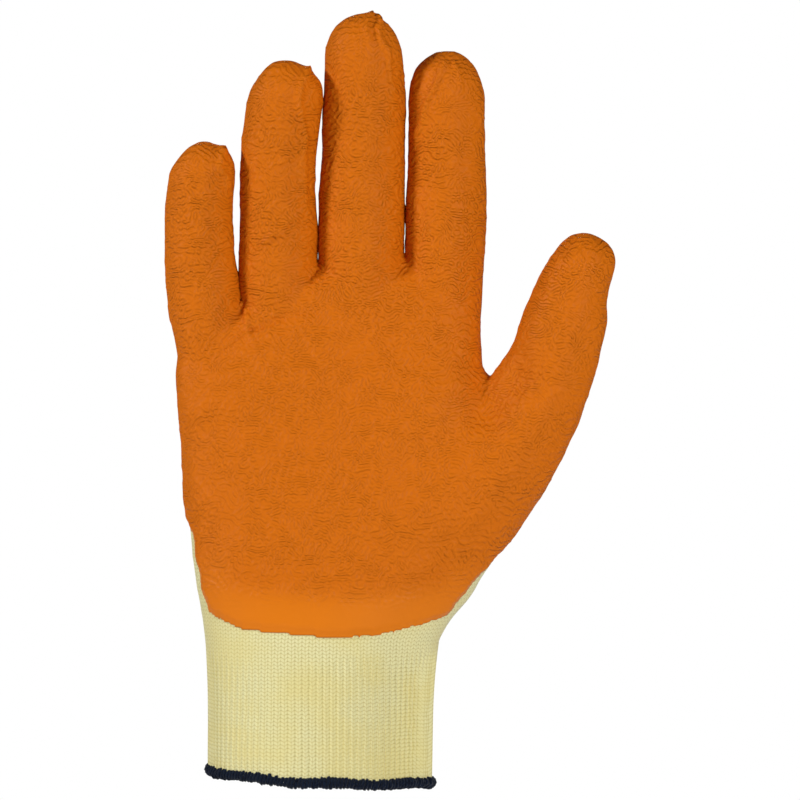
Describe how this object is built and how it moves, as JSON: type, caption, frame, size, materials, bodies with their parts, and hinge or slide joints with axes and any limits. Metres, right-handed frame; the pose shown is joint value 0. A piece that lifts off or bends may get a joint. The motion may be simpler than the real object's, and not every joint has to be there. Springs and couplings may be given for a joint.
{
  "type": "latex coated grip glove",
  "caption": "Knitted work glove with an elastic wrist, its palm, thumb and fingertips dipped in crinkled latex for grip, kept in the form of a worn right hand.",
  "frame": {"origin": "middle of the wrist opening, level with the lower edge of the hem", "axes": "+Z from the wrist opening to the fingertips, the palm faces -Y and the thumb points to +X"},
  "size_m": [0.1446, 0.0535, 0.2477],
  "materials": {
    "knit_yarn": "matte ribbed and plain knit",
    "latex": "crinkled, satin",
    "hem_yarn": "matte overlock thread"
  },
  "bodies": {
    "root": {"little_finger": "knit_yarn", "ring_finger": "knit_yarn", "middle_finger": "knit_yarn", "index_finger": "knit_yarn", "thumb": "knit_yarn", "knit_hand": "knit_yarn", "latex_film": "latex", "rib_cuff": "knit_yarn", "overlock_hem": "hem_yarn"}
  },
  "joints": []
}
